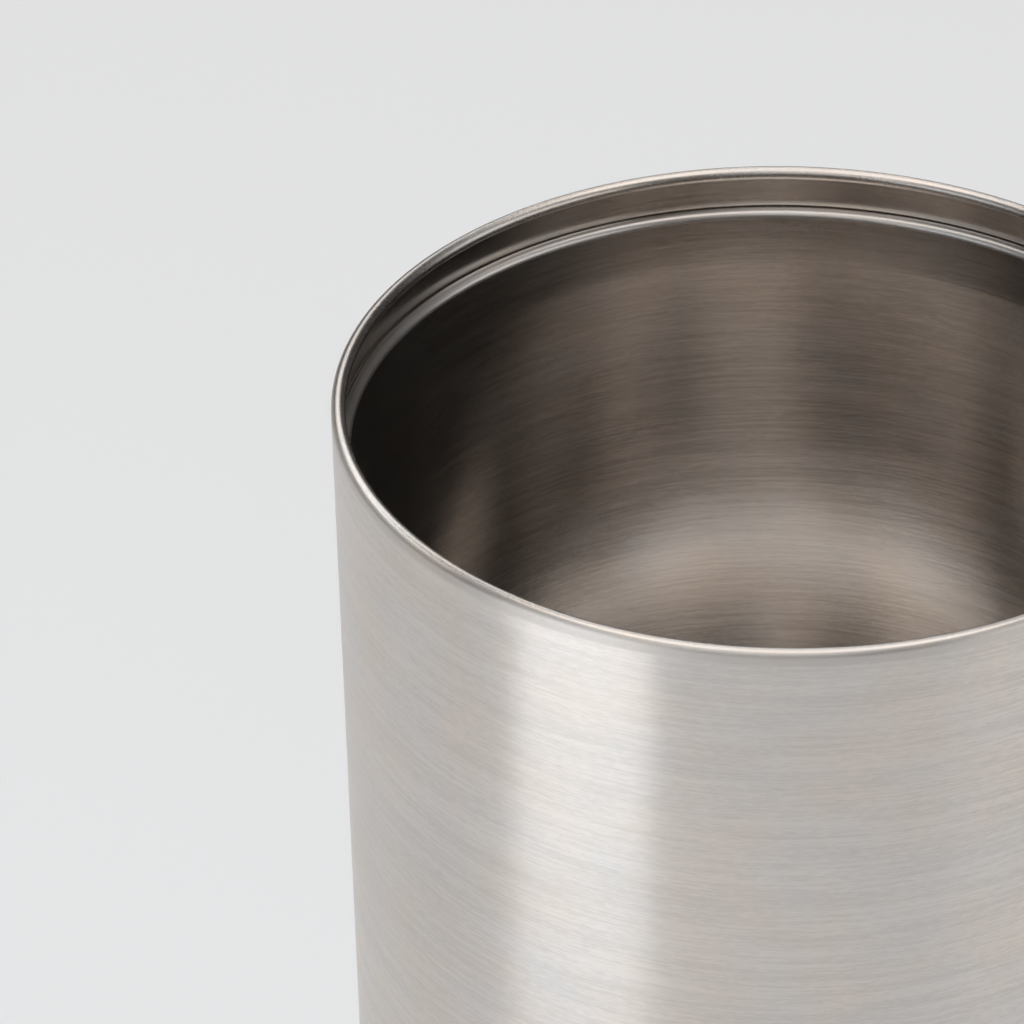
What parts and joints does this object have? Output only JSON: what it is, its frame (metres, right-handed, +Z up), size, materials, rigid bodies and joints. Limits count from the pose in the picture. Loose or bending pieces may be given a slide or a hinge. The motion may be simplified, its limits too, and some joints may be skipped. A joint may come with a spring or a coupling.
{
  "type": "champagne bucket stand",
  "caption": "Round double-walled steel champagne bucket with a rolled rim and a deep liner, lifting off a slim column stand with a heavy round base.",
  "frame": {"origin": "centre of the floor ring's underside, on the floor under the column's axis", "axes": "+Z up along the column and the bucket's axis; the part is turned, so +X and +Y are equal but for the dowels along X and the set screws at +Y"},
  "size_m": [0.3, 0.3, 0.6885],
  "materials": {
    "floor_rubber": "matt black moulded rubber",
    "ballast_paint": "cast iron with matt black paint",
    "spun_steel": "spun stainless steel with fine rings",
    "zinc_steel": "bright zinc-plated steel",
    "column_steel": "stainless steel tube brushed round its girth",
    "turned_steel": "turned stainless steel",
    "collar_steel": "turned and softly polished stainless steel",
    "plate_steel": "stainless steel plate, brushed in rings",
    "shell_steel": "stainless steel sheet brushed round its girth",
    "liner_steel": "satin stainless steel, drawn and lightly brushed",
    "silicone": "translucent grey silicone"
  },
  "bodies": {
    "stand": {"floor_ring": "floor_rubber", "ballast_disc": "ballast_paint", "base_cover": "spun_steel", "base_bolt": "zinc_steel", "column_tube": "column_steel", "foot_plug": "turned_steel", "foot_rosette": "collar_steel", "head_plug": "turned_steel", "head_rosette": "collar_steel", "rosette_screws": "zinc_steel", "head_plate": "plate_steel", "head_dowels": "zinc_steel", "centring_boss": "turned_steel", "head_bolt": "zinc_steel", "head_pad": "floor_rubber"},
    "bucket": {"outer_shell": "shell_steel", "base_pan": "liner_steel", "socket_cup": "liner_steel", "bucket_foot_ring": "floor_rubber", "shelf_ring": "liner_steel", "liner_seal": "silicone", "liner": "liner_steel"}
  },
  "joints": [
    {"name": "bucket_lift", "type": "slide", "parent": "stand", "child": "bucket", "axis": [0, 0, 1], "range_m": [0, 0.1]}
  ]
}
